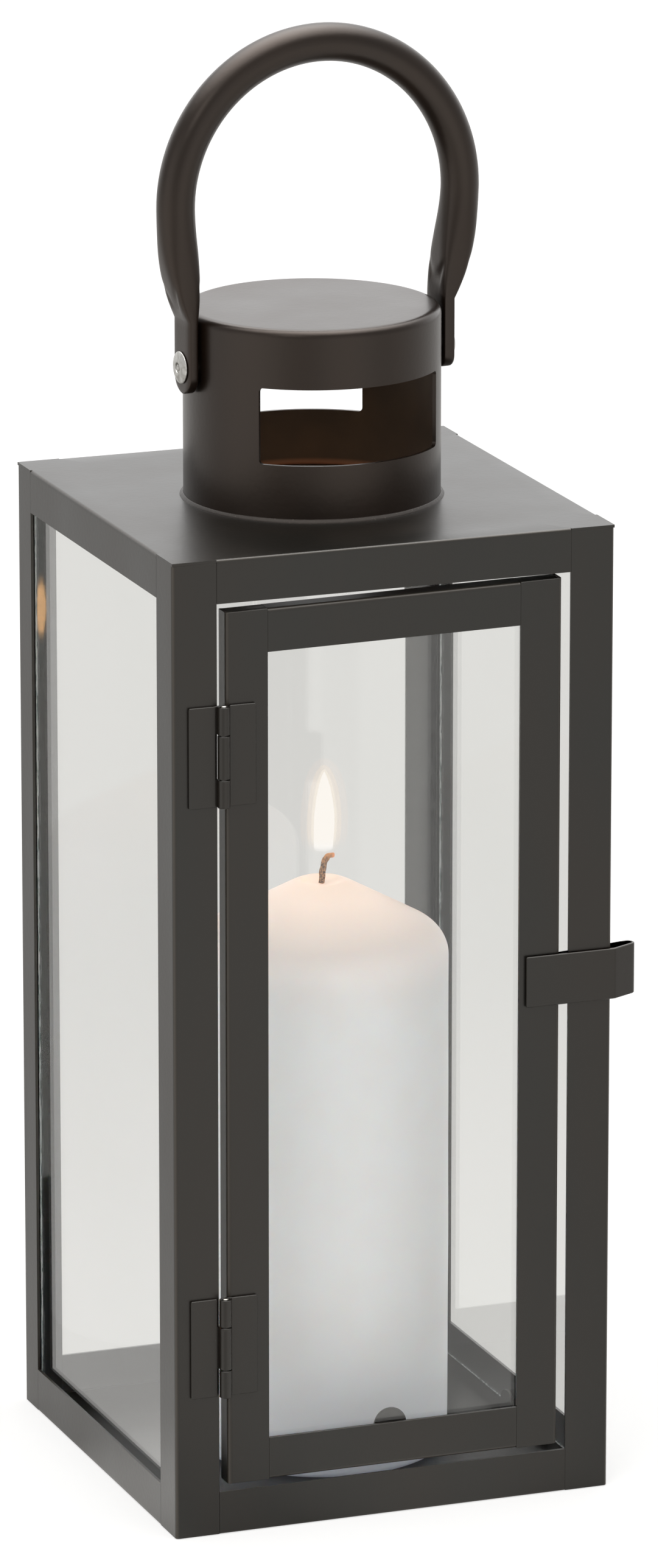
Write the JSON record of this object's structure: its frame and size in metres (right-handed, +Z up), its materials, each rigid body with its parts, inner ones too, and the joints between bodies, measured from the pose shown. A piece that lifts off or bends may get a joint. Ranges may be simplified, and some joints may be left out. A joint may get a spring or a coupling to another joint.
{
  "type": "candle lantern",
  "caption": "Tall square sheet-steel candle lantern with glass panes, a hinged latched door, a round vented chimney, a riveted bow handle and a pillar candle.",
  "frame": {"origin": "centre of the square base, in the plane that the lantern stands on", "axes": "+Z up; the door is on the -Y face, so +X runs to the right for someone who looks at the door, and +Y runs to the back"},
  "size_m": [0.134, 0.1294, 0.4013],
  "materials": {
    "painted_steel": "satin near-black paint on folded sheet steel",
    "clear_glass": "clear float glass, 2 mm",
    "rivet_aluminium": "bare domed blind rivet",
    "pin_steel": "bare pin with cut ends",
    "candle_wax": "smooth ivory wax, slightly translucent",
    "burnt_wick": "charred braided cotton"
  },
  "bodies": {
    "root": {"top_cover": "painted_steel", "base_tray": "painted_steel", "corner_post_front_left": "painted_steel", "corner_post_front_right": "painted_steel", "corner_post_back_left": "painted_steel", "corner_post_back_right": "painted_steel", "left_glass": "clear_glass", "right_glass": "clear_glass", "back_glass": "clear_glass", "left_glass_clips": "painted_steel", "right_glass_clips": "painted_steel", "back_glass_clips": "painted_steel", "chimney": "painted_steel", "chimney_weld_bead": "painted_steel", "left_rivet": "rivet_aluminium", "right_rivet": "rivet_aluminium", "upper_hinge_post_leaf": "painted_steel", "lower_hinge_post_leaf": "painted_steel", "upper_hinge_pin": "pin_steel", "lower_hinge_pin": "pin_steel"},
    "door": {"door_left_stile": "painted_steel", "door_right_stile": "painted_steel", "door_top_rail": "painted_steel", "door_bottom_rail": "painted_steel", "door_glass": "clear_glass", "door_glass_clips": "painted_steel", "upper_hinge_door_leaf": "painted_steel", "lower_hinge_door_leaf": "painted_steel", "latch_foot": "painted_steel"},
    "latch": {"latch_clip": "painted_steel"},
    "handle": {"handle": "painted_steel"},
    "candle": {"candle": "candle_wax", "wick": "burnt_wick"}
  },
  "joints": [
    {"name": "door_hinge", "type": "hinge", "parent": "root", "child": "door", "pos_m": [-0.04925, -0.0647, 0.136], "axis": [0, 0, -1], "range_deg": [0, 180]},
    {"name": "latch_flex", "type": "hinge", "parent": "door", "child": "latch", "pos_m": [0.0409, -0.0638, 0.147], "axis": [0, 0, -1], "range_deg": [0, 6], "stiffness_Nm_per_rad": 1},
    {"name": "handle_swing", "type": "hinge", "parent": "root", "child": "handle", "pos_m": [0, 0, 0.3105], "axis": [0.9976, 0.0698, 0], "range_deg": [-115, 115]},
    {"name": "candle_lift", "type": "slide", "parent": "root", "child": "candle", "axis": [0, 0, 1], "range_m": [0, 0.06]}
  ]
}
